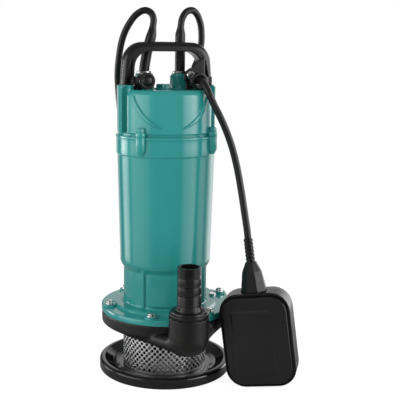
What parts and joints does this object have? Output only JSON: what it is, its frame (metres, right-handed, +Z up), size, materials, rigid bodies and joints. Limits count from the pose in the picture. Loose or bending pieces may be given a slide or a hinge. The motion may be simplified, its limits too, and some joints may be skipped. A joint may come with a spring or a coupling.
{
  "type": "submersible sump pump",
  "caption": "Upright submersible sump pump with a painted motor housing, perforated strainer foot, hose tail, carrying handle and a float switch on a cable.",
  "frame": {"origin": "centre of the base plate's underside, where it stands on the floor", "axes": "+Z up along the shaft, +X along the carrying handle towards the float's side, -Y towards the discharge"},
  "size_m": [0.2132, 0.3756, 0.4325],
  "materials": {
    "teal_paint": "gloss",
    "black_base": "gloss",
    "black_plastic": "satin",
    "black_casing": "satin",
    "black_rubber": "satin",
    "stainless": "satin",
    "bright_steel": "polished",
    "cast_aluminium": "satin",
    "core_steel": "satin",
    "winding": "satin",
    "brass": "satin",
    "carbon": "matt",
    "seal_ceramic": "polished",
    "white_plastic": "satin"
  },
  "bodies": {
    "pump": {"base_plate": "black_base", "base_bolts": "stainless", "strainer": "stainless", "pump_casing": "black_casing", "casing_gasket": "black_rubber", "seal_plate": "cast_aluminium", "seal_seat": "seal_ceramic", "motor_housing": "teal_paint", "flange_bolts": "bright_steel", "earth_screw": "bright_steel", "lip_seal": "black_rubber", "lower_bearing_outer": "bright_steel", "stator_core": "core_steel", "end_windings": "winding", "upper_bracket": "cast_aluminium", "upper_bearing_outer": "bright_steel", "top_cover": "teal_paint", "cover_oring": "black_rubber", "cover_bolts": "teal_paint", "capacitor": "white_plastic", "capacitor_clip": "black_plastic", "filler_plug": "teal_paint", "gland_nuts": "teal_paint", "gland_washers": "bright_steel", "left_sleeve": "black_rubber", "right_sleeve": "black_rubber", "handle": "black_plastic", "handle_screws": "bright_steel", "clamp_screw": "bright_steel", "ring_plug": "black_rubber", "hose_tail": "black_plastic", "hose_collar": "black_plastic", "power_cable": "black_rubber", "power_coil": "black_rubber", "coil_tail": "black_rubber", "mains_plug": "black_rubber", "float_lead": "black_rubber"},
    "rotor": {"shaft": "stainless", "shaft_key": "stainless", "rotor_core": "core_steel", "impeller": "brass", "impeller_nut": "stainless", "seal_face": "carbon", "seal_spring": "stainless", "lower_bearing_inner": "bright_steel", "upper_bearing_inner": "bright_steel"},
    "lower_balls": {"lower_bearing_balls": "bright_steel"},
    "upper_balls": {"upper_bearing_balls": "bright_steel"},
    "float": {"float_tether": "black_rubber", "float_neck": "black_rubber", "float_front_shell": "black_plastic", "float_back_shell": "black_plastic", "float_seal": "black_rubber", "ball_tube": "white_plastic", "float_weight": "core_steel", "micro_switch": "black_plastic"},
    "lever": {"switch_lever": "stainless"},
    "ball": {"switch_ball": "bright_steel"}
  },
  "joints": [
    {"name": "rotor_spin", "type": "hinge", "parent": "pump", "child": "rotor", "pos_m": [0, 0, 0.06], "axis": [0, 0, 1], "continuous": true},
    {"name": "lower_cage_spin", "type": "hinge", "parent": "pump", "child": "lower_balls", "pos_m": [0, 0, 0.1203], "axis": [0, 0, 1], "continuous": true},
    {"name": "upper_cage_spin", "type": "hinge", "parent": "pump", "child": "upper_balls", "pos_m": [0, 0, 0.2688], "axis": [0, 0, 1], "continuous": true},
    {"name": "float_swing", "type": "hinge", "parent": "pump", "child": "float", "pos_m": [0.031, -0.0301, 0.3473], "axis": [0, -1, 0], "range_deg": [0, 100]},
    {"name": "ball_slide", "type": "slide", "parent": "float", "child": "ball", "axis": [-0.118, 0.0738, 0.9903], "range_m": [0, 0.029]},
    {"name": "lever_tilt", "type": "hinge", "parent": "float", "child": "lever", "pos_m": [0.09588, -0.09318, 0.06601], "axis": [0.5299, 0.848, 0], "range_deg": [0, 5.5]}
  ],
  "couplings": [
    {"joint": "lower_cage_spin", "follows": "rotor_spin", "ratio": 0.382},
    {"joint": "upper_cage_spin", "follows": "rotor_spin", "ratio": 0.384},
    {"joint": "lever_tilt", "follows": "ball_slide", "rad_per_m": 3.3}
  ]
}
